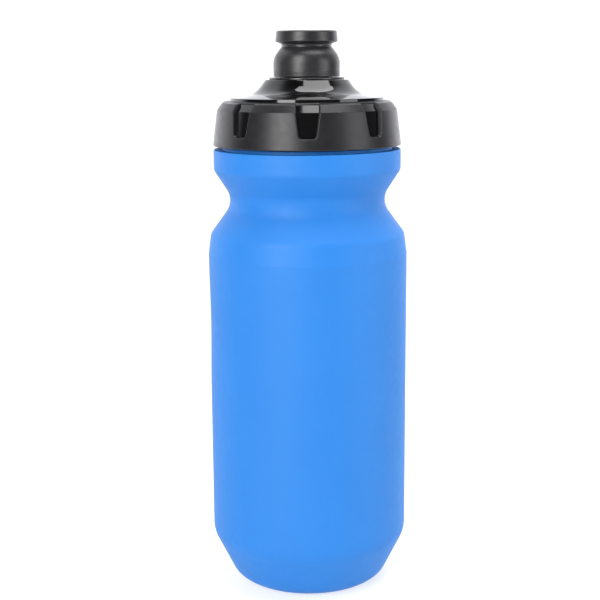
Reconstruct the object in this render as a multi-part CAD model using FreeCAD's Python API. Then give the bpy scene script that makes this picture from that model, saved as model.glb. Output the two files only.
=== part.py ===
"""Sports squeeze bottle: a blown body, a screw cap with a grip ring, and a push-pull spout.

All sizes are in millimetres. The bottle stands on its foot at z = 0, on the Z axis.
An outline is a list of corners (radius, height) or (radius, height, rounding) that is spun round Z.
"""

import FreeCAD, Part

import math
import os

from FreeCAD import Vector

# ---- Driving dimensions -------------------------------------------------------------------------

BODY_R = 37.0            # fits a standard 74 mm bottle cage
BODY_WALL = 1.2
FOOT_FLAT_R = 18.5       # inner edge of the foot's flat ring
FOOT_CORNER_R = 27.8     # where the bottom taper would meet the table
TAPER_TOP_Z = 18.6       # end of the bottom taper
BARREL_TOP_Z = 126.0     # end of the straight barrel
PUSH_UP = 3.2            # height of the hollow under the base

WAIST_Z = 145.5          # where the two waist slopes would cross
WAIST_R = 27.1
WAIST_ROUND = 7.2
SHOULDER_R = 34.5        # the band between the waist and the cap
SHOULDER_BOTTOM_Z = 157.0
SHOULDER_TOP_Z = 164.2
STEP_R = 32.5            # the step that shows as a gap under the cap
STEP_TOP_Z = 165.6

NECK_R = 28.6
NECK_BORE_R = 27.2
LIP_Z = 177.35

THREAD_LEAD = 4.5        # rise of one turn
THREAD_TURNS = 1.25
THREAD_BASE_W = 2.0
THREAD_CREST_W = 0.9
THREAD_ROOT_SINK = 0.4   # how far a thread is rooted in its wall
NECK_CREST_R = 30.15
NECK_THREAD_Z = 168.6
CAP_CREST_R = 28.95
CAP_THREAD_DROP = 1.65   # the cap's thread hangs this far under the neck's
CAP_THREAD_START = 90.0  # degrees round from the neck thread's start

CAP_BOTTOM_Z = 166.2
CAP_BORE_R = 30.5
GASKET_SEAT_Z = 178.9
GASKET_RIB_R = (25.8, 26.65)
SHELL_BOTTOM_R = 33.1    # outside of the cap's skirt, under the grip ring
SHELL_CREASE = (31.5, 178.85)
SHELL_BEVEL_TOP = (29.65, 181.3)
DOME_RIM_R = 28.5
DOME_RIM_Z = 183.2
DOME_WALL = 1.8
DOME_TOP_Z = 189.65
SPOUT_HOLE_R = 10.4

GRIP_BOTTOM_Z = 165.9
GRIP_BOTTOM_R = 34.6
GRIP_CREASE = (33.05, 178.85)
GRIP_BEVEL_TOP = (31.2, 181.45)
GRIP_TOP_Z = 182.2       # where the ring meets the dome's rim
WINDOW_COUNT = 8
WINDOW_BOTTOM_Z = 169.7
WINDOW_TOP_Z = 182.5     # above the ring, so each window is open at the top
WINDOW_FACE_R = 34.0     # where the window's widths are taken
WINDOW_HALF_TOP = 4.95   # half-width of a grip window at its top
WINDOW_HALF_BOTTOM = 3.1
WINDOW_DRAFT = 10.0      # degrees by which the walls lean inwards
WINDOW_ROUND = 1.6

GASKET_BOTTOM_Z = 177.45
GASKET_TOP_Z = 178.85
GASKET_IN_R = 26.95
GASKET_OUT_R = 30.2

FLANGE_R = 13.8          # the spout base's flange on top of the dome
FLANGE_TOP_Z = 190.35
TOWER_R = 7.6
LAND_R = 8.0             # the tower's head, which stops the nozzle
LAND_BOTTOM_Z = 196.6
TOWER_TOP_Z = 199.0
TOWER_BORE_R = 6.2
SPOKE_COUNT = 4
SPOKE_W = 1.2
PLUG_R = 3.2
PLUG_STEM_R = 2.2
PLUG_TOP_Z = 205.0
VALVE_SEAT_R = 8.8
VALVE_SEAT_Z = 187.2
BASE_BOTTOM_Z = 184.6

ORING_GROOVE_R = 7.05
ORING_GROOVE_Z = (197.15, 198.45)
ORING_R = 0.45           # radius of the ring's round section

NOZZLE_STROKE = 5.0
CORE_BOTTOM_Z = 190.55
CORE_R = 9.3
CORE_NECK_R = 7.3
CORE_BEAD_TOP_Z = 191.4
CORE_CEILING_Z = 199.35
CORE_TOP_Z = 205.2
ORIFICE_R = 3.35
RIB_R = 9.9              # the rib that keeps the soft sleeve on the core
RIB_Z = (193.0, 194.4)

SLEEVE_BOTTOM_Z = 190.6
BULB_R = 12.15
SLEEVE_NECK_R = 9.1
LIP_R = 11.35
LIP_BOTTOM_Z = 203.15
TOP_Z = 207.0
MOUTH_R = 4.0

SLIT_W = 0.2
SLIT_LENGTH = 7.6

AXIS = Vector(0, 0, 1)
ORIGIN = Vector(0, 0, 0)
ROUND_MIN = 1e-6


# ---- Outlines -----------------------------------------------------------------------------------

def on_plane(r, z):
    return Vector(r, 0, z)


def corner_arc(before, at, after, rounding):
    """Tangent points and middle of the arc that rounds one corner, or None where it stays sharp."""
    to_before = (before - at).normalize()
    to_after = (after - at).normalize()
    half = to_before.getAngle(to_after) / 2
    if rounding < ROUND_MIN or half > math.pi / 2 - 1e-4:
        return None
    reach = rounding / math.tan(half)
    bisector = (to_before + to_after).normalize()
    centre = at + bisector * (rounding / math.sin(half))
    return at + to_before * reach, centre - bisector * rounding, at + to_after * reach


def outline(corners, to_point=on_plane):
    """A closed wire through the corners, with its rounded corners as arcs."""
    points = [to_point(c[0], c[1]) for c in corners]
    count = len(points)
    arcs = []
    for i, c in enumerate(corners):
        rounding = c[2] if len(c) > 2 else 0.0
        arcs.append(corner_arc(points[i - 1], points[i], points[(i + 1) % count], rounding))
    edges = []
    for i in range(count):
        if arcs[i]:
            edges.append(Part.Arc(*arcs[i]).toShape())
        start = arcs[i][2] if arcs[i] else points[i]
        after = arcs[(i + 1) % count]
        end = after[0] if after else points[(i + 1) % count]
        if start.distanceToPoint(end) > 1e-5:
            edges.append(Part.LineSegment(start, end).toShape())
    return Part.Wire(edges)


def spun(corners):
    """The solid of revolution of a closed outline."""
    return Part.Face(outline(corners)).revolve(ORIGIN, AXIS, 360)


def inset(corners, depth):
    """An open run of corners moved sideways by depth, to the left of its direction of travel."""
    points = [Vector(c[0], c[1], 0) for c in corners]
    moved = []
    for i, at in enumerate(points):
        before = (at - points[i - 1]).normalize() if i else None
        after = (points[i + 1] - at).normalize() if i + 1 < len(points) else None
        before = before or after
        after = after or before
        left_before = Vector(-before.y, before.x, 0)
        left_after = Vector(-after.y, after.x, 0)
        side = (left_before + left_after).normalize()
        shift = side * (depth / side.dot(left_before))
        turns_left = before.x * after.y - before.y * after.x > 0
        rounding = corners[i][2] if len(corners[i]) > 2 else 0.0
        if rounding:
            rounding = max(0.3, rounding - depth if turns_left else rounding + depth)
        moved.append((at.x + shift.x, at.y + shift.y, rounding))
    return moved


# ---- Threads ------------------------------------------------------------------------------------

def thread(wall_r, crest_r, first_z, start_deg, turns):
    """A helical ridge from a wall to its crest; outside the wall or inside it, as the radii say."""
    outward = 1 if crest_r > wall_r else -1
    foot_r = wall_r - outward * THREAD_ROOT_SINK
    flank = (THREAD_BASE_W - THREAD_CREST_W) / 2 / abs(crest_r - wall_r)
    half_foot = THREAD_BASE_W / 2 + flank * THREAD_ROOT_SINK
    half_crest = THREAD_CREST_W / 2
    section = Part.makePolygon([
        Vector(foot_r, 0, -half_foot),
        Vector(crest_r, 0, -half_crest),
        Vector(crest_r, 0, half_crest),
        Vector(foot_r, 0, half_foot),
        Vector(foot_r, 0, -half_foot),
    ])
    helix = Part.makeHelix(THREAD_LEAD, THREAD_LEAD * turns, wall_r)
    ridge = Part.Wire(helix.Edges).makePipeShell([section], True, True)
    ridge.translate(Vector(0, 0, first_z))
    ridge.rotate(ORIGIN, AXIS, start_deg)
    return ridge


# ---- Bottle -------------------------------------------------------------------------------------

def bottle_body():
    """The blown squeeze body, one wall thick, with the neck thread outside its mouth."""
    outside = [
        (0, PUSH_UP),
        (FOOT_FLAT_R - 5, PUSH_UP, 5),
        (FOOT_FLAT_R, 0, 1.5),
        (FOOT_CORNER_R, 0, 7.5),
        (BODY_R, TAPER_TOP_Z, 9),
        (BODY_R, BARREL_TOP_Z, 2),
        (BODY_R - 1.0, BARREL_TOP_Z + 7.3, 4),
        (WAIST_R, WAIST_Z, WAIST_ROUND),
        (SHOULDER_R, SHOULDER_BOTTOM_Z, 2.5),
        (SHOULDER_R, SHOULDER_TOP_Z, 0.8),
        (STEP_R, SHOULDER_TOP_Z, 0.3),
        (STEP_R, STEP_TOP_Z, 0.4),
    ]
    inside = inset(outside[:-3], BODY_WALL)
    inside[-1] = (SHOULDER_R - BODY_WALL, SHOULDER_TOP_Z - BODY_WALL, 1.0)
    neck = [
        (NECK_R, STEP_TOP_Z, 0.3),
        (NECK_R, LIP_Z, 0.5),
        (NECK_BORE_R, LIP_Z, 0.5),
        (NECK_BORE_R, SHOULDER_TOP_Z - BODY_WALL, 1.2),
    ]
    shell = spun(outside + neck + inside[::-1])
    ridge = thread(NECK_R, NECK_CREST_R, NECK_THREAD_Z, 0, THREAD_TURNS)
    return shell.fuse(ridge).removeSplitter()


# ---- Cap ----------------------------------------------------------------------------------------

def shell_outside():
    """The cap's outer surface under the grip ring, from the skirt's bottom to the dome's rim."""
    return [
        (SHELL_BOTTOM_R, CAP_BOTTOM_Z),
        SHELL_CREASE,
        SHELL_BEVEL_TOP,
        (DOME_RIM_R, SHELL_BEVEL_TOP[1] + 0.3),
    ]


def cap_shell():
    """The hard glossy cap: a flared dome, a skirt with an inner thread, and a gasket seat."""
    dome = [
        (DOME_RIM_R, DOME_RIM_Z, 0.12),
        (18.8, 184.9, 8),
        (15.3, DOME_TOP_Z, 0.5),
    ]
    rib_in_r, rib_out_r = GASKET_RIB_R
    under_dome = inset([(rib_in_r, 183.55)] + dome[1:], DOME_WALL)
    underside = [
        (SPOUT_HOLE_R, DOME_TOP_Z),
        (SPOUT_HOLE_R, under_dome[2][1]),
        under_dome[2],
        under_dome[1],
        (rib_in_r, 181.6, 0.8),
        (rib_in_r, GASKET_SEAT_Z - 2.4, 0.3),
        (rib_out_r, GASKET_SEAT_Z - 2.4, 0.3),
        (rib_out_r, GASKET_SEAT_Z),
        (CAP_BORE_R, GASKET_SEAT_Z, 0.1),
        (CAP_BORE_R, CAP_BOTTOM_Z + 1.2),
        (CAP_BORE_R + 0.7, CAP_BOTTOM_Z),
    ]
    shell = spun(shell_outside() + dome + underside)
    first_z = NECK_THREAD_Z - CAP_THREAD_DROP + THREAD_LEAD * CAP_THREAD_START / 360
    ridge = thread(CAP_BORE_R, CAP_CREST_R, first_z, CAP_THREAD_START, THREAD_TURNS)
    return shell.fuse(ridge).removeSplitter()


def window_outline(r, narrower):
    """A window's outline on the plane x = r, drawn in by a given amount at the sides and bottom."""
    return outline(
        [
            (narrower - WINDOW_HALF_BOTTOM, WINDOW_BOTTOM_Z + narrower, WINDOW_ROUND),
            (WINDOW_HALF_BOTTOM - narrower, WINDOW_BOTTOM_Z + narrower, WINDOW_ROUND),
            (WINDOW_HALF_TOP - narrower, WINDOW_TOP_Z),
            (narrower - WINDOW_HALF_TOP, WINDOW_TOP_Z),
        ],
        lambda across, z: Vector(r, across, z),
    )


def window_cutter():
    """A tapered plug with drafted walls that opens one window in the grip ring, on the +X side."""
    draft = math.tan(math.radians(WINDOW_DRAFT))
    in_r = SHELL_BEVEL_TOP[0]
    out_r = WINDOW_FACE_R + 2
    inner = window_outline(in_r, (WINDOW_FACE_R - in_r) * draft)
    outer = window_outline(out_r, (WINDOW_FACE_R - out_r) * draft)
    return Part.makeLoft([inner, outer], True, True)


def grip_ring():
    """The satin ring moulded over the cap, with windows down to the glossy shell."""
    outside = [
        (DOME_RIM_R, GRIP_TOP_Z),
        (GRIP_BEVEL_TOP[0], GRIP_BEVEL_TOP[1], 0.4),
        (GRIP_CREASE[0], GRIP_CREASE[1], 0.3),
        (GRIP_BOTTOM_R, GRIP_BOTTOM_Z, 0.35),
        (SHELL_BOTTOM_R, GRIP_BOTTOM_Z),
    ]
    ring = spun(shell_outside() + outside)
    for i in range(WINDOW_COUNT):
        cutter = window_cutter()
        cutter.rotate(ORIGIN, AXIS, -90 + i * 360 / WINDOW_COUNT)
        ring = ring.cut(cutter)
    return ring


def cap_gasket():
    """The flat silicone ring that the neck's lip presses on."""
    edge = 0.25
    return spun([
        (GASKET_IN_R, GASKET_BOTTOM_Z, edge),
        (GASKET_OUT_R, GASKET_BOTTOM_Z, edge),
        (GASKET_OUT_R, GASKET_TOP_Z, edge),
        (GASKET_IN_R, GASKET_TOP_Z, edge),
    ])


# ---- Spout --------------------------------------------------------------------------------------

def spout_base():
    """The tower that the nozzle slides on, with its shut-off plug on spokes and a valve seat below."""
    groove_bottom, groove_top = ORING_GROOVE_Z
    deck_z = TOWER_TOP_Z - 1.3
    body = spun([
        (VALVE_SEAT_R, BASE_BOTTOM_Z),
        (10.3, BASE_BOTTOM_Z, 0.4),
        (10.3, 186.6),
        (10.9, 187.0),
        (10.9, DOME_TOP_Z - 1.9),
        (10.3, DOME_TOP_Z - 1.9),
        (10.3, DOME_TOP_Z + 0.02),
        (FLANGE_R, DOME_TOP_Z + 0.02, 0.15),
        (FLANGE_R, FLANGE_TOP_Z, 0.2),
        (TOWER_R, FLANGE_TOP_Z, 0.1),
        (TOWER_R, LAND_BOTTOM_Z),
        (LAND_R, LAND_BOTTOM_Z, 0.1),
        (LAND_R, groove_bottom),
        (ORING_GROOVE_R, groove_bottom),
        (ORING_GROOVE_R, groove_top),
        (LAND_R, groove_top),
        (LAND_R, TOWER_TOP_Z, 0.2),
        (TOWER_BORE_R, TOWER_TOP_Z, 0.2),
        (TOWER_BORE_R, VALVE_SEAT_Z, 0.2),
        (VALVE_SEAT_R, VALVE_SEAT_Z, 0.2),
    ])
    plug = spun([
        (0, deck_z),
        (PLUG_STEM_R, deck_z),
        (PLUG_STEM_R, 202.6, 0.4),
        (PLUG_R, 203.6, 0.2),
        (PLUG_R, PLUG_TOP_Z, 0.6),
        (0, PLUG_TOP_Z),
    ])
    for i in range(SPOKE_COUNT):
        spoke = Part.makeBox(TOWER_BORE_R + 0.3, SPOKE_W, TOWER_TOP_Z - deck_z,
                             Vector(0, -SPOKE_W / 2, deck_z))
        spoke.rotate(ORIGIN, AXIS, 45 + i * 360 / SPOKE_COUNT)
        plug = plug.fuse(spoke)
    return body.fuse(plug).removeSplitter()


def slide_oring():
    """The ring in the tower's head that seals the sliding nozzle."""
    middle_z = sum(ORING_GROOVE_Z) / 2
    return Part.makeTorus(ORING_GROOVE_R + ORING_R + 0.02, ORING_R, Vector(0, 0, middle_z))


def nozzle_core():
    """The hard sliding core: a bore over the tower, a stop bead inside its foot, an orifice on top."""
    rib_bottom, rib_top = RIB_Z
    bore_r = LAND_R + 0.1
    bead_r = TOWER_R + 0.1
    return spun([
        (bead_r, CORE_BOTTOM_Z, 0.2),
        (CORE_R, CORE_BOTTOM_Z, 0.2),
        (CORE_R, rib_bottom),
        (RIB_R, rib_bottom, 0.2),
        (RIB_R, rib_top, 0.2),
        (CORE_R, rib_top),
        (CORE_R, CORE_CEILING_Z - 0.4, 0.6),
        (CORE_NECK_R, CORE_CEILING_Z + 1.3, 0.6),
        (CORE_NECK_R, CORE_TOP_Z, 0.3),
        (ORIFICE_R, CORE_TOP_Z, 0.2),
        (ORIFICE_R, CORE_TOP_Z - 1.3),
        (5.2, CORE_TOP_Z - 1.3, 0.3),
        (5.2, CORE_CEILING_Z, 0.3),
        (bore_r, CORE_CEILING_Z, 0.2),
        (bore_r, CORE_BEAD_TOP_Z),
        (bead_r, CORE_BEAD_TOP_Z, 0.1),
    ])


def nozzle_sleeve():
    """The soft mouthpiece: a bulb, a narrow neck and a wide lip, gripping the core's rib."""
    rib_bottom, rib_top = RIB_Z
    return spun([
        (CORE_R, SLEEVE_BOTTOM_Z),
        (BULB_R, SLEEVE_BOTTOM_Z, 0.3),
        (BULB_R, 197.5, 6),
        (SLEEVE_NECK_R, 201.3, 0.6),
        (SLEEVE_NECK_R, LIP_BOTTOM_Z - 0.9, 0.6),
        (LIP_R, LIP_BOTTOM_Z, 0.4),
        (LIP_R - 0.35, TOP_Z, 0.7),
        (MOUTH_R, TOP_Z, 0.6),
        (MOUTH_R, CORE_TOP_Z),
        (CORE_NECK_R, CORE_TOP_Z, 0.3),
        (CORE_NECK_R, CORE_CEILING_Z + 1.3, 0.6),
        (CORE_R, CORE_CEILING_Z - 0.4, 0.6),
        (CORE_R, rib_top),
        (RIB_R, rib_top, 0.2),
        (RIB_R, rib_bottom, 0.2),
        (CORE_R, rib_bottom),
    ])


def flow_valve():
    """The silicone disc with a crossed slit, which opens when the body is squeezed."""
    rim_r = VALVE_SEAT_R - 0.05
    disc = spun([
        (0, 185.6),
        (4.6, 185.6, 1.5),
        (6.0, VALVE_SEAT_Z - 1.2, 0.3),
        (rim_r, VALVE_SEAT_Z - 1.2, 0.15),
        (rim_r, VALVE_SEAT_Z, 0.15),
        (5.9, VALVE_SEAT_Z, 0.3),
        (4.8, 186.4, 1.0),
        (0, 186.4),
    ])
    for angle in (0, 90):
        slit = Part.makeBox(SLIT_LENGTH, SLIT_W, 4, Vector(-SLIT_LENGTH / 2, -SLIT_W / 2, 184))
        slit.rotate(ORIGIN, AXIS, angle + 45)
        disc = disc.cut(slit)
    return disc


def valve_retainer():
    """The snap ring that holds the flow valve up on its seat."""
    top_z = VALVE_SEAT_Z - 1.22
    return spun([
        (6.2, BASE_BOTTOM_Z, 0.3),
        (VALVE_SEAT_R - 0.03, BASE_BOTTOM_Z, 0.2),
        (VALVE_SEAT_R - 0.03, top_z, 0.15),
        (6.2, top_z, 0.2),
    ])


PARTS = {
    "bottle_body": bottle_body,
    "cap_shell": cap_shell,
    "grip_ring": grip_ring,
    "cap_gasket": cap_gasket,
    "spout_base": spout_base,
    "slide_oring": slide_oring,
    "nozzle_core": nozzle_core,
    "nozzle_sleeve": nozzle_sleeve,
    "flow_valve": flow_valve,
    "valve_retainer": valve_retainer,
}


def main():
    os.makedirs("parts", exist_ok=True)
    for name, make in PARTS.items():
        shape = make()
        shape.exportStep(f"parts/{name}.step")
        print(name, "valid", shape.isValid(), "solids", len(shape.Solids),
              "volume", round(shape.Volume, 1))


main()
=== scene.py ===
"""Sports squeeze bottle: its looks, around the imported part. Metres, +Z up, front facing -Y."""

import math

import bpy
from mathutils import Matrix, Vector


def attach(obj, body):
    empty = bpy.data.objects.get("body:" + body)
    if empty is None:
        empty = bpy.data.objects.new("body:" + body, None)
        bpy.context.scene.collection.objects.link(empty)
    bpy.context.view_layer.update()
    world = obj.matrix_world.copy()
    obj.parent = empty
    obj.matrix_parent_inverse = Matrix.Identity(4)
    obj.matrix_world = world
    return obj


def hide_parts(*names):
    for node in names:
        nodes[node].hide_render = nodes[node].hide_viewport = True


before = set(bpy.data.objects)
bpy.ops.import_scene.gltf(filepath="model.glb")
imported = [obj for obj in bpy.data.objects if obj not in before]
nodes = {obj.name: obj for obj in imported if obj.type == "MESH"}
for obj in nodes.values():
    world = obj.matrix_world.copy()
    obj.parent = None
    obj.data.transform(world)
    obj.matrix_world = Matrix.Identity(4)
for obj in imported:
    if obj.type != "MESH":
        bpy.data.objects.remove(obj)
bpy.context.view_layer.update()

MM = 0.001
TAU = 2 * math.pi
ORIGIN = (0, 0, 0)
TOUCHING = 1e-3                      # points nearer than this, in mm, stand in one place
ARC_STEP = math.radians(9)           # the turn of each straight piece in a rounded corner
SMOOTH_UNDER = math.radians(32)      # faces that meet at less than this are shaded as one


# ---- Working by hand ----------------------------------------------------------------------------

def put_down_everything():
    """Leaves edit mode and deselects all."""
    if bpy.context.object and bpy.context.object.mode != "OBJECT":
        bpy.ops.object.mode_set(mode="OBJECT")
    bpy.ops.object.select_all(action="DESELECT")


def pick_up(piece):
    """Makes one piece the only selected one."""
    put_down_everything()
    piece.select_set(True)
    bpy.context.view_layer.objects.active = piece


def edit(piece):
    """Opens a piece in edit mode with nothing selected."""
    pick_up(piece)
    bpy.ops.object.mode_set(mode="EDIT")
    bpy.ops.mesh.select_all(action="DESELECT")


def clear_selection(mesh):
    """Deselects every point, edge and face of a mesh, outside edit mode."""
    for part in (mesh.polygons, mesh.edges, mesh.vertices):
        part.foreach_set("select", [False] * len(part))


def select_points(piece, wanted):
    """Selects in edit mode the points whose place, in mm, satisfies wanted(x, y, z)."""
    bpy.ops.object.mode_set(mode="OBJECT")
    mesh = piece.data
    clear_selection(mesh)
    for point in mesh.vertices:
        point.select = wanted(*(point.co / MM))
    bpy.ops.object.mode_set(mode="EDIT")
    bpy.ops.mesh.select_mode(type="VERT")


def select_faces(piece, wanted):
    """Selects in edit mode the faces whose middle, in mm, and normal satisfy wanted(middle, normal)."""
    bpy.ops.object.mode_set(mode="OBJECT")
    mesh = piece.data
    clear_selection(mesh)
    for face in mesh.polygons:
        face.select = wanted(face.center / MM, face.normal)
    bpy.ops.object.mode_set(mode="EDIT")
    bpy.ops.mesh.select_mode(type="FACE")


def keep_selected_edges(piece, wanted):
    """Of the edges selected in edit mode, keeps those whose ends, in mm, satisfy wanted(a, b)."""
    bpy.ops.object.mode_set(mode="OBJECT")
    mesh = piece.data
    kept = [
        edge.select and wanted(*(mesh.vertices[i].co / MM for i in edge.vertices))
        for edge in mesh.edges
    ]
    clear_selection(mesh)
    mesh.edges.foreach_set("select", kept)
    bpy.ops.object.mode_set(mode="EDIT")
    bpy.ops.mesh.select_mode(type="EDGE")


def move(x, y, z):
    """Moves the selection by millimetres."""
    bpy.ops.transform.translate(value=(x * MM, y * MM, z * MM))


def scale_about(middle, x, y, z):
    """Scales the selection about a point given in millimetres."""
    bpy.ops.transform.resize(value=(x, y, z), center_override=tuple(c * MM for c in middle))


def close_seams(piece):
    """Merges points that lie on each other and turns the faces outwards."""
    edit(piece)
    bpy.ops.mesh.select_all(action="SELECT")
    bpy.ops.mesh.remove_doubles(threshold=0.002 * MM)
    bpy.ops.mesh.normals_make_consistent(inside=False)
    bpy.ops.object.mode_set(mode="OBJECT")


def trace(name, corners, closed=True):
    """Draws a section at y = 0 by extruding one point from corner to corner.

    A corner is (radius, height) or (radius, height, rounding) in mm. A section that starts and ends
    on the axis is left open there.
    """
    put_down_everything()
    first = corners[0]
    bpy.ops.mesh.primitive_plane_add(size=MM, location=(0, 0, 0))
    piece = bpy.context.object
    piece.name = name
    bpy.ops.object.mode_set(mode="EDIT")
    bpy.ops.mesh.select_mode(type="VERT")
    bpy.ops.mesh.select_all(action="SELECT")
    bpy.ops.mesh.merge(type="CENTER")
    move(first[0], 0, first[1])
    for here, there in zip(corners, corners[1:]):
        step = ((there[0] - here[0]) * MM, 0, (there[1] - here[1]) * MM)
        bpy.ops.mesh.extrude_vertices_move(TRANSFORM_OT_translate={"value": step})
    if closed:
        last = corners[-1]
        ends = (first[:2], last[:2])
        select_points(piece, lambda x, y, z: min(math.dist((x, z), end) for end in ends) < TOUCHING)
        bpy.ops.mesh.edge_face_add()
    for index, corner in enumerate(corners):
        if len(corner) == 3:
            round_corner(piece, corners[index - 1], corner, corners[(index + 1) % len(corners)])
    return piece


def round_corner(piece, before, corner, after):
    """Rounds one corner of a traced section."""
    at = Vector(corner[:2])
    half = (Vector(before[:2]) - at).angle(Vector(after[:2]) - at) / 2
    reach = corner[2] / math.tan(half)
    pieces = max(2, round((math.pi - 2 * half) / ARC_STEP))
    select_points(piece, lambda x, y, z: math.dist((x, z), at) < TOUCHING)
    bpy.ops.mesh.bevel(offset=reach * MM, segments=pieces, affect="VERTICES", clamp_overlap=False)


def turn(piece, steps):
    """Spins a traced section all the way round Z, as on a lathe."""
    edit(piece)
    bpy.ops.mesh.select_all(action="SELECT")
    bpy.ops.mesh.spin(steps=steps, angle=TAU, center=(0, 0, 0), axis=(0, 0, 1))
    close_seams(piece)


def apply_modifier(piece, kind, **settings):
    """Adds a modifier, sets it and applies it."""
    pick_up(piece)
    modifier = piece.modifiers.new(kind.title(), kind)
    for name, value in settings.items():
        setattr(modifier, name, value)
    bpy.ops.object.modifier_apply(modifier=modifier.name)


def settle(piece, name, body, finish, stands_for=()):
    """Names a finished piece, shades it, gives it its finish and lets it ride on its body."""
    put_down_everything()
    pick_up(piece)
    bpy.ops.object.transform_apply(location=True, rotation=True, scale=True)
    bpy.ops.object.shade_smooth_by_angle(angle=SMOOTH_UNDER)
    apply_modifier(piece, "WEIGHTED_NORMAL", keep_sharp=True, weight=100)
    piece.name = name
    piece.data.materials.clear()
    piece.data.materials.append(finish)
    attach(piece, body)
    if stands_for:
        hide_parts(*stands_for)
    return piece


# ---- Finishes -----------------------------------------------------------------------------------

def new_finish(name, **sockets):
    """A shader with its uniform values set on its own sockets. Returns it with its node tree."""
    finish = bpy.data.materials.new(name)
    finish.use_nodes = True
    shader = finish.node_tree.nodes["Principled BSDF"]
    for socket, value in sockets.items():
        shader.inputs[socket.replace("_", " ")].default_value = value
    return finish, shader


def add_node(tree, kind, **values):
    """A node with the given properties, or inputs where a name isn't a property."""
    node = tree.nodes.new(kind)
    for name, value in values.items():
        if hasattr(node, name):
            setattr(node, name, value)
        else:
            node.inputs[name.replace("_", " ")].default_value = value
    return node


def noise(tree, size, detail=3.0, roughness=0.5):
    """Noise in object space with features of about the given size in mm."""
    coords = add_node(tree, "ShaderNodeTexCoord")
    texture = add_node(tree, "ShaderNodeTexNoise", Scale=1 / (size * MM), Detail=detail,
                       Roughness=roughness)
    tree.links.new(coords.outputs["Object"], texture.inputs["Vector"])
    return texture.outputs["Fac"]


def flow_lines(tree):
    """Faint level lines round a moulding: noise drawn out sideways and tight upwards."""
    coords = add_node(tree, "ShaderNodeTexCoord")
    squash = add_node(tree, "ShaderNodeMapping")
    squash.inputs["Scale"].default_value = (0.06, 0.06, 1)
    texture = add_node(tree, "ShaderNodeTexNoise", Scale=1 / (0.7 * MM), Detail=2)
    tree.links.new(coords.outputs["Object"], squash.inputs["Vector"])
    tree.links.new(squash.outputs["Vector"], texture.inputs["Vector"])
    return texture.outputs["Fac"]


def spread(tree, value, low, high):
    """Stretches a noise's middle range to run from low to high."""
    node = add_node(tree, "ShaderNodeMapRange", From_Min=0.3, From_Max=0.7, To_Min=low, To_Max=high)
    tree.links.new(value, node.inputs["Value"])
    return node.outputs["Result"]


def blend_colours(tree, value, first, second):
    """A colour between two, by a value from 0 to 1."""
    ramp = add_node(tree, "ShaderNodeValToRGB")
    ramp.color_ramp.elements[0].color = (*first, 1)
    ramp.color_ramp.elements[1].color = (*second, 1)
    tree.links.new(value, ramp.inputs["Fac"])
    return ramp.outputs["Color"]


def raise_grain(tree, shader, layers):
    """Stacks bumps on the surface. Each layer is (value, depth in mm)."""
    normal = None
    for value, depth in layers:
        bump = add_node(tree, "ShaderNodeBump", Distance=depth * MM, Strength=1.0)
        tree.links.new(value, bump.inputs["Height"])
        if normal:
            tree.links.new(normal, bump.inputs["Normal"])
        normal = bump.outputs["Normal"]
    tree.links.new(normal, shader.inputs["Normal"])


def squeeze_plastic():
    """Soft blue polyethylene with a satin, faintly rippled skin."""
    finish, shader = new_finish("squeeze_plastic", IOR=1.45, Subsurface_Weight=0.12,
                                Subsurface_Radius=(0.2, 0.5, 1.0), Subsurface_Scale=1.5 * MM)
    tree = finish.node_tree
    cloud = spread(tree, noise(tree, 22, detail=4), 0, 1)
    colour = blend_colours(tree, cloud, (0.006, 0.150, 0.495), (0.008, 0.160, 0.515))
    tree.links.new(colour, shader.inputs["Base Color"])
    tree.links.new(spread(tree, noise(tree, 3), 0.54, 0.62), shader.inputs["Roughness"])
    raise_grain(tree, shader, [(noise(tree, 9, detail=1), 0.02), (noise(tree, 0.35), 0.004)])
    return finish


def grip_satin():
    """Black moulded ring with a fine spark-eroded grain."""
    finish, shader = new_finish("grip_satin", IOR=1.41)
    tree = finish.node_tree
    cloud = spread(tree, noise(tree, 12, detail=4), 0, 1)
    colour = blend_colours(tree, cloud, (0.0078, 0.0074, 0.0092), (0.0108, 0.0103, 0.0124))
    tree.links.new(colour, shader.inputs["Base Color"])
    tree.links.new(spread(tree, noise(tree, 2.5), 0.32, 0.40), shader.inputs["Roughness"])
    raise_grain(tree, shader, [(noise(tree, 0.25), 0.006), (flow_lines(tree), 0.012)])
    return finish


def polished_shell():
    """Black polished plastic with the faint flow waves of a moulding."""
    finish, shader = new_finish("polished_shell", IOR=1.5, Base_Color=(0.003, 0.003, 0.0033, 1))
    tree = finish.node_tree
    tree.links.new(spread(tree, noise(tree, 1.6, detail=5), 0.05, 0.09), shader.inputs["Roughness"])
    raise_grain(tree, shader, [(noise(tree, 6, detail=1), 0.004)])
    return finish


def soft_rubber():
    """Charcoal soft-touch rubber, matte with a dusty grain."""
    finish, shader = new_finish("soft_rubber", IOR=1.48)
    tree = finish.node_tree
    cloud = spread(tree, noise(tree, 7, detail=5), 0, 1)
    colour = blend_colours(tree, cloud, (0.0120, 0.0115, 0.0132), (0.0160, 0.0154, 0.0174))
    tree.links.new(colour, shader.inputs["Base Color"])
    tree.links.new(spread(tree, noise(tree, 1.5), 0.32, 0.40), shader.inputs["Roughness"])
    raise_grain(tree, shader, [(noise(tree, 0.4), 0.008)])
    return finish


def inner_plastic():
    """Plain black moulding of the pieces inside the spout."""
    finish, shader = new_finish("inner_plastic", IOR=1.5, Base_Color=(0.016, 0.016, 0.017, 1))
    tree = finish.node_tree
    tree.links.new(spread(tree, noise(tree, 1.2), 0.22, 0.34), shader.inputs["Roughness"])
    raise_grain(tree, shader, [(noise(tree, 1.6, detail=1), 0.002)])
    return finish


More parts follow.
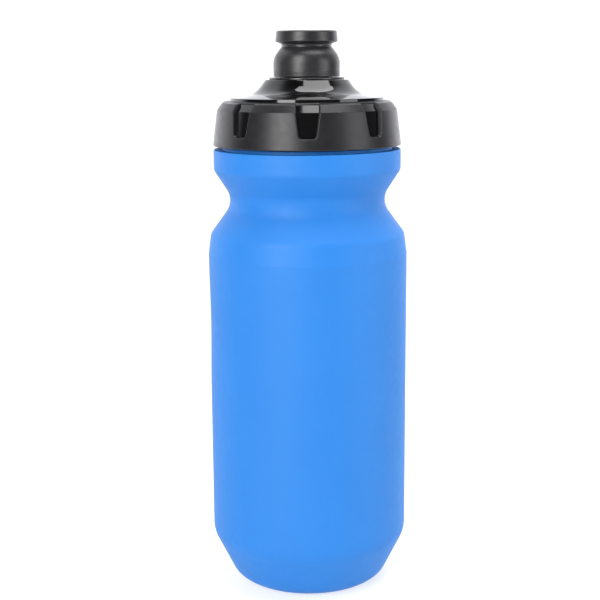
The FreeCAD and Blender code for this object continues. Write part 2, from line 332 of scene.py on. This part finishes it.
def silicone(name, colour, clearness):
    """Milky silicone."""
    finish, shader = new_finish(name, IOR=1.43, Subsurface_Weight=clearness, Subsurface_Scale=2 * MM)
    tree = finish.node_tree
    cloud = spread(tree, noise(tree, 3, detail=4), 0, 1)
    darker = tuple(c * 0.93 for c in colour)
    tree.links.new(blend_colours(tree, cloud, darker, colour), shader.inputs["Base Color"])
    tree.links.new(spread(tree, noise(tree, 1), 0.38, 0.5), shader.inputs["Roughness"])
    raise_grain(tree, shader, [(noise(tree, 0.5), 0.004)])
    return finish


BLUE = squeeze_plastic()
SATIN = grip_satin()
GLOSS = polished_shell()
RUBBER = soft_rubber()
INNER = inner_plastic()
GASKET = silicone("gasket_silicone", (0.62, 0.62, 0.62), 0.3)
VALVE = silicone("valve_silicone", (0.78, 0.79, 0.8), 0.4)
ORING = silicone("ring_rubber", (0.018, 0.018, 0.018), 0.0)


def dress(node, finish):
    """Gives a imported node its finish."""
    nodes[node].data.materials.clear()
    nodes[node].data.materials.append(finish)


dress("cap_shell", GLOSS)
for inner_piece in ("spout_base", "nozzle_core", "valve_retainer"):
    dress(inner_piece, INNER)
dress("cap_gasket", GASKET)
dress("flow_valve", VALVE)
dress("slide_oring", ORING)


# ---- Bottle -------------------------------------------------------------------------------------

BARREL_R = 37
BARREL_TOP = 126
BARREL_RINGS = [(BARREL_R, z) for z in range(28, BARREL_TOP, 8)]
BODY_OUTSIDE = [
    (0, 3.2), (13.5, 3.2, 5), (18.5, 0, 1.5), (27.8, 0, 7.5), (BARREL_R, 18.6, 9),
    *BARREL_RINGS, (BARREL_R, BARREL_TOP, 2),
    (36, 133.3, 4), (27.1, 145.5, 7.2), (34.5, 157, 2.5), (34.5, 164.5, 0.5), (31.2, 164.3, 0.3),
    (31.2, 165.6, 0.4), (28.6, 165.6, 0.3), (28.6, 177.35, 0.5), (27.2, 177.35, 0.5),
]
BODY_INSIDE = [
    (27.2, 163, 1.2), (33.3, 163, 1), (33.3, 157.35, 1.3), (25.65, 145.46, 8.4), (34.85, 132.84, 2.8),
    (35.8, 125.92, 0.8), (35.8, 18.88, 7.8), (27.05, 1.2, 6.3), (18.85, 1.2, 2.7),
    (13.85, 4.4, 3.8), (0, 4.4),
]

PARTING_LINE_REACH = 0.16            # how far the mould's parting line spreads to each side
PARTING_LINE_HEIGHT = 0.05

DENT = (-36.9, 0, 100)               # the middle of the soft hollow in the barrel's side
DENT_DEPTH = 0.35
DENT_REACH = 24

THREAD_SECTION = [(28.2, 167.46), (30.15, 168.15, 0.2), (30.15, 169.05, 0.2), (28.2, 169.74)]
THREAD_RISE = 4.5                    # of one turn
THREAD_TURNS = 1.25
THREAD_STEPS = 130

PINCH_HALF_SIZE = (8.5, 0.45, 0.35)
PINCH_HEIGHT = 3.25


def body_wall():
    """The blown wall, turned in one piece from the base's middle up to the lip and back down inside."""
    wall = trace("bottle_body_finish", BODY_OUTSIDE + BODY_INSIDE, closed=False)
    turn(wall, steps=192)
    return wall


def select_outer_column(wall, side):
    """Selects the outer skin's points that stand in the XZ plane on one side, from foot to shoulder."""
    bpy.ops.object.mode_set(mode="OBJECT")
    mesh = wall.data
    clear_selection(mesh)
    for point in mesh.vertices:
        x, y, z = point.co / MM
        in_column = abs(y) < TOUCHING and x * side > 15 and 0.8 < z < 163.6
        point.select = in_column and point.normal.x * side > 0.1
    bpy.ops.object.mode_set(mode="EDIT")


def parting_line(wall):
    """Raises the faint line that the two halves of the blow mould leave down each side."""
    for side in (-1, 1):
        edit(wall)
        select_outer_column(wall, side)
        bpy.ops.mesh.select_mode(type="EDGE")
        bpy.ops.mesh.bevel(offset=PARTING_LINE_REACH * MM, segments=2, affect="EDGES")
        bpy.ops.mesh.select_mode(type="VERT")
        select_outer_column(wall, side)
        move(side * PARTING_LINE_HEIGHT, 0, 0)


def press_in(wall):
    """The soft hollow that handling has left in one side of the barrel."""
    edit(wall)
    bpy.ops.mesh.select_mode(type="VERT")
    select_points(wall, lambda x, y, z: math.dist((x, y, z), DENT) < 0.5)
    bpy.ops.transform.translate(value=(DENT_DEPTH * MM, 0, 0), use_proportional_edit=True,
                                proportional_edit_falloff="SMOOTH", proportional_size=DENT_REACH * MM)


def neck_thread():
    """The trapezoid ridge that climbs one turn and a quarter round the neck."""
    ridge = trace("neck_thread", THREAD_SECTION)
    apply_modifier(ridge, "SCREW", axis="Z", angle=TAU * THREAD_TURNS,
                   screw_offset=THREAD_RISE * THREAD_TURNS * MM, steps=THREAD_STEPS,
                   render_steps=THREAD_STEPS, use_smooth_shade=True)
    edit(ridge)
    bpy.ops.mesh.select_mode(type="EDGE")
    bpy.ops.mesh.select_non_manifold(extend=False)
    bpy.ops.mesh.fill_holes(sides=0)
    close_seams(ridge)
    return ridge


def pinch_line():
    """The short raised line across the base where the blow mould pinched the tube shut."""
    put_down_everything()
    bpy.ops.mesh.primitive_cube_add(size=2 * MM, location=ORIGIN)
    line = bpy.context.object
    edit(line)
    bpy.ops.mesh.select_all(action="SELECT")
    scale_about(ORIGIN, *PINCH_HALF_SIZE)
    move(0, 0, PINCH_HEIGHT)
    select_points(line, lambda x, y, z: z < PINCH_HEIGHT)
    scale_about(ORIGIN, 0.97, 0.6, 1)
    bpy.ops.mesh.select_mode(type="EDGE")
    bpy.ops.mesh.bevel(offset=0.12 * MM, segments=3, affect="EDGES")
    put_down_everything()
    return line


def bottle():
    """The blown body: its wall, the thread round its neck and the pinch line under its base."""
    wall = body_wall()
    parting_line(wall)
    press_in(wall)
    extras = [neck_thread(), pinch_line()]
    pick_up(wall)
    for piece in extras:
        piece.select_set(True)
    bpy.ops.object.join()
    settle(wall, "bottle_body_finish", "bottle", BLUE, ["bottle_body"])


bottle()


# ---- Grip ring ----------------------------------------------------------------------------------

WINDOWS = 8
FLAT_R = 33.0                        # the radius at which a flat strip is bent without stretching
WINDOW_PITCH = TAU * FLAT_R / WINDOWS
RING_COLUMNS = 28                    # straight pieces in one window's share of the ring
RING_OUTSIDE = [
    (28.5, 182.2), (31.2, 181.45, 0.4), (33.05, 178.85, 0.3), (34.6, 165.9, 0.35), (33.08, 165.9),
]
RING_INSIDE = [(33.08, 166.2), (31.48, 178.85), (29.63, 181.3), (28.48, 181.6)]

PLUG_HALF_SIZE = (4.9, 3.2, 6.4)     # across, inwards and up; the width is that of a window's top
PLUG_MIDDLE = (0, 0.2, 176.1)
PLUG_FOOT_HALF_WIDTH = 3.02
PLUG_CORNER = 1.248                  # how far the two lower corners are cut back
PLUG_TAPER = 0.93                    # the inner face's width, as a share of the outer face's
PLUG_FOOT_LIFT = 0.7                 # how much higher the foot is on the inner face
UNDER_THE_TOP = 175                  # a height between the plug's foot and its top
WINDOW_RIM = 0.42                    # the width of the rounding round each window


def ring_radius(height):
    """The ring's outer radius at a height."""
    corners = [corner[:2] for corner in RING_OUTSIDE[:4]]
    for (high_r, high), (low_r, low) in zip(corners, corners[1:]):
        if height >= low:
            return low_r + (high_r - low_r) * (height - low) / (high - low)
    return corners[-1][0]


def window_plug():
    """The tapered plug that cuts one window out of the flat strip."""
    put_down_everything()
    bpy.ops.mesh.primitive_cube_add(size=2 * MM, location=ORIGIN)
    plug = bpy.context.object
    edit(plug)
    bpy.ops.mesh.select_all(action="SELECT")
    scale_about(ORIGIN, *PLUG_HALF_SIZE)
    move(*PLUG_MIDDLE)
    select_points(plug, lambda x, y, z: z < UNDER_THE_TOP)
    scale_about(ORIGIN, PLUG_FOOT_HALF_WIDTH / PLUG_HALF_SIZE[0], 1, 1)
    for side in (-1, 1):
        select_points(plug, lambda x, y, z: z < UNDER_THE_TOP and x * side > 0)
        bpy.ops.mesh.select_mode(type="EDGE")
        bpy.ops.mesh.bevel(offset=PLUG_CORNER * MM, segments=6, affect="EDGES")
    select_points(plug, lambda x, y, z: y > 0)
    scale_about(ORIGIN, PLUG_TAPER, 1, 1)
    select_points(plug, lambda x, y, z: y > 0 and z < UNDER_THE_TOP)
    move(0, 0, PLUG_FOOT_LIFT)
    put_down_everything()
    return plug


def flat_strip():
    """One eighth of the ring, unrolled, with its window cut and the window's rim rounded."""
    strip = trace("grip_ring_finish", RING_OUTSIDE + RING_INSIDE)
    edit(strip)
    bpy.ops.mesh.select_all(action="SELECT")
    bpy.ops.mesh.edge_face_add()
    bpy.ops.transform.rotate(value=math.radians(90), orient_axis="Z", center_override=ORIGIN)
    move(-WINDOW_PITCH / 2, FLAT_R, 0)
    bpy.ops.mesh.extrude_region_move(TRANSFORM_OT_translate={"value": (WINDOW_PITCH * MM, 0, 0)})
    close_seams(strip)
    plug = window_plug()
    apply_modifier(strip, "BOOLEAN", operation="DIFFERENCE", solver="EXACT", object=plug)
    bpy.data.objects.remove(plug)
    edit(strip)
    bpy.ops.mesh.select_mode(type="EDGE")
    bpy.ops.mesh.edges_select_sharp(sharpness=math.radians(35))

    def on_window_rim(a, b):
        """Whether an edge with these ends lies on the strip's outer face, round the window."""
        outside = all(abs(FLAT_R - end.y - ring_radius(end.z)) < 0.12 for end in (a, b))
        return outside and max(abs(a.x), abs(b.x)) < 6 and min(a.z, b.z) > 168

    keep_selected_edges(strip, on_window_rim)
    bpy.ops.mesh.bevel(offset=WINDOW_RIM * MM, segments=3, affect="EDGES", clamp_overlap=True)
    return strip


def grip_ring():
    """Eight flat strips in a row, bent into a ring."""
    strip = flat_strip()
    end_x = WINDOW_PITCH / 2 - 0.01
    select_faces(strip, lambda middle, normal: abs(normal.x) > 0.99 and abs(middle.x) > end_x)
    bpy.ops.mesh.delete(type="FACE")
    for column in range(1, RING_COLUMNS):
        bpy.ops.mesh.select_all(action="SELECT")
        place = (column / RING_COLUMNS - 0.5) * WINDOW_PITCH * MM
        bpy.ops.mesh.bisect(plane_co=(place, 0, 0), plane_no=(1, 0, 0))
    bpy.ops.mesh.select_all(action="SELECT")
    move(-3 * WINDOW_PITCH, 0, 0)
    apply_modifier(strip, "ARRAY", count=WINDOWS, use_relative_offset=False, use_constant_offset=True,
                   constant_offset_displace=(WINDOW_PITCH * MM, 0, 0))
    close_seams(strip)
    apply_modifier(strip, "SIMPLE_DEFORM", deform_method="BEND", deform_axis="Z", angle=TAU)
    edit(strip)
    bpy.ops.mesh.select_all(action="SELECT")
    move(0, -FLAT_R, 0)
    close_seams(strip)
    settle(strip, "grip_ring_finish", "cap", SATIN, ["grip_ring"])


grip_ring()


# ---- Nozzle -------------------------------------------------------------------------------------

BULB_R = 12.15
SLEEVE_UPPER = [
    (BULB_R, 197.5, 6), (9.1, 201.3, 0.6), (9.1, 202.25, 0.6), (11.35, 203.15, 0.4), (11.0, 207, 0.7),
    (4, 207, 0.6), (4, 205.2), (7.3, 205.2, 0.3), (7.3, 200.65, 0.6), (9.3, 198.95, 0.6),
]
TURNED_LINES = (191.35, 191.85, 192.35)
TURNED_LINE_FLOOR = 12.08
TURNED_LINE_HALF_WIDTH = 0.09


def nozzle_sleeve():
    """The soft sleeve: bulb, neck and bite lip, with fine turned lines near its foot."""
    foot = [(9.3, 190.6), (BULB_R, 190.6, 0.3)]
    for line_z in TURNED_LINES:
        foot += [
            (BULB_R, line_z - TURNED_LINE_HALF_WIDTH),
            (TURNED_LINE_FLOOR, line_z, 0.03),
            (BULB_R, line_z + TURNED_LINE_HALF_WIDTH),
        ]
    sleeve = trace("nozzle_sleeve_finish", foot + SLEEVE_UPPER)
    turn(sleeve, steps=128)
    settle(sleeve, "nozzle_sleeve_finish", "nozzle", RUBBER, ["nozzle_sleeve"])


nozzle_sleeve()


# ---- Studio -------------------------------------------------------------------------------------

LID = (0, 0, 0.18)                   # what the side panels are aimed at
WALL_WAY = (-0.15, 0.989, 0.35)      # towards the bright wall: behind the bottle and a little up
EYE = (-0.003, -0.467, 0.1984)
LOOKING_DOWN = 11.02                 # degrees
LEANING = -0.39


def floor():
    """A wide round table, pale and evenly bright."""
    put_down_everything()
    bpy.ops.mesh.primitive_circle_add(vertices=96, radius=1.0, fill_type="NGON", location=ORIGIN)
    table = bpy.context.object
    table.name = "table"
    finish, shader = new_finish("pale_table", Roughness=0.6, Base_Color=(0.36, 0.36, 0.36, 1),
                                Emission_Color=(1, 1, 1, 1), Emission_Strength=0.66)
    tree = finish.node_tree
    raise_grain(tree, shader, [(noise(tree, 3), 0.01)])
    table.data.materials.append(finish)


def soft_light(name, place, aim, width, height, radiance, shape="RECTANGLE"):
    """A soft box that glows evenly with the given radiance, unseen by the camera."""
    data = bpy.data.lights.new(name, "AREA")
    data.shape = shape
    data.size = width
    data.size_y = height
    area = width * height * (math.pi / 4 if shape == "ELLIPSE" else 1)
    data.energy = radiance * area * math.pi
    light = bpy.data.objects.new(name, data)
    bpy.context.collection.objects.link(light)
    light.location = place
    light.rotation_euler = (Vector(aim) - Vector(place)).to_track_quat("-Z", "Y").to_euler()
    light.visible_camera = False
    return light


def round_the_bottle(azimuth, distance, height):
    """A point around the bottle; azimuth 0 is the front and grows to the right."""
    angle = math.radians(azimuth)
    return (distance * math.sin(angle), -distance * math.cos(angle), height)


def ramp_between(tree, value, start, end, low, high):
    """A smooth change from low to high while the value goes from start to end."""
    node = add_node(tree, "ShaderNodeMapRange", interpolation_type="SMOOTHSTEP",
                    From_Min=start, From_Max=end, To_Min=low, To_Max=high)
    tree.links.new(value, node.inputs["Value"])
    return node.outputs["Result"]


def times(tree, first, second):
    """The product of two values."""
    node = add_node(tree, "ShaderNodeMath", operation="MULTIPLY")
    tree.links.new(first, node.inputs[0])
    tree.links.new(second, node.inputs[1])
    return node.outputs[0]


def room():
    """Pale to look at. It lights the bottle with a bright wall behind and darkness in front."""
    world = bpy.data.worlds.new("room")
    bpy.context.scene.world = world
    world.use_nodes = True
    tree = world.node_tree
    lit = tree.nodes["Background"]
    lit.inputs["Color"].default_value = (0.95, 0.96, 1, 1)
    way = add_node(tree, "ShaderNodeTexCoord").outputs["Generated"]
    towards_wall = add_node(tree, "ShaderNodeVectorMath", operation="DOT_PRODUCT")
    towards_wall.inputs[1].default_value = WALL_WAY
    tree.links.new(way, towards_wall.inputs[0])
    wall = ramp_between(tree, towards_wall.outputs["Value"], start=0.20, end=0.62, low=0.04, high=1.0)
    height = add_node(tree, "ShaderNodeSeparateXYZ")
    tree.links.new(way, height.inputs[0])
    falloff = ramp_between(tree, height.outputs["Z"], start=0.02, end=0.35, low=2.3, high=1.5)
    ceiling = ramp_between(tree, height.outputs["Z"], start=0.75, end=0.92, low=1.0, high=0.1)
    tree.links.new(times(tree, times(tree, wall, falloff), ceiling), lit.inputs["Strength"])
    seen = add_node(tree, "ShaderNodeBackground")
    seen.inputs["Color"].default_value = (1, 1, 1, 1)
    seen.inputs["Strength"].default_value = 1.1
    eye = add_node(tree, "ShaderNodeLightPath")
    either = add_node(tree, "ShaderNodeMixShader")
    tree.links.new(eye.outputs["Is Camera Ray"], either.inputs["Fac"])
    tree.links.new(lit.outputs[0], either.inputs[1])
    tree.links.new(seen.outputs[0], either.inputs[2])
    tree.links.new(either.outputs[0], tree.nodes["World Output"].inputs["Surface"])


floor()
room()
soft_light("overhead", (0.19, -0.01, 1.0), (0.19, -0.01, 0), 0.78, 0.76, 6.0, "ELLIPSE")
soft_light("left_panel", round_the_bottle(-30, 1.1, 0.6), LID, 0.58, 1.2, 9.0)
soft_light("right_panel", round_the_bottle(63, 1.2, 0.3), LID, 0.64, 0.9, 3.5)
right_fill = soft_light("right_fill", round_the_bottle(95, 1.2, 0.4), LID, 1.0, 1.2, 2.2)
right_fill.visible_glossy = False


def camera():
    """Level with the cap and looking down a little, leaning a touch to one side."""
    data = bpy.data.cameras.new("camera")
    data.sensor_width = 36
    data.lens = 75.54
    data.clip_start = 0.01
    data.clip_end = 50
    eye = bpy.data.objects.new("camera", data)
    bpy.context.collection.objects.link(eye)
    eye.location = EYE
    tilt = Matrix.Rotation(math.radians(90 - LOOKING_DOWN), 3, "X")
    lean = Matrix.Rotation(math.radians(LEANING), 3, "Z")
    eye.rotation_euler = (tilt @ lean).to_euler()
    bpy.context.scene.camera = eye


camera()
bpy.context.scene.view_settings.view_transform = "Standard"
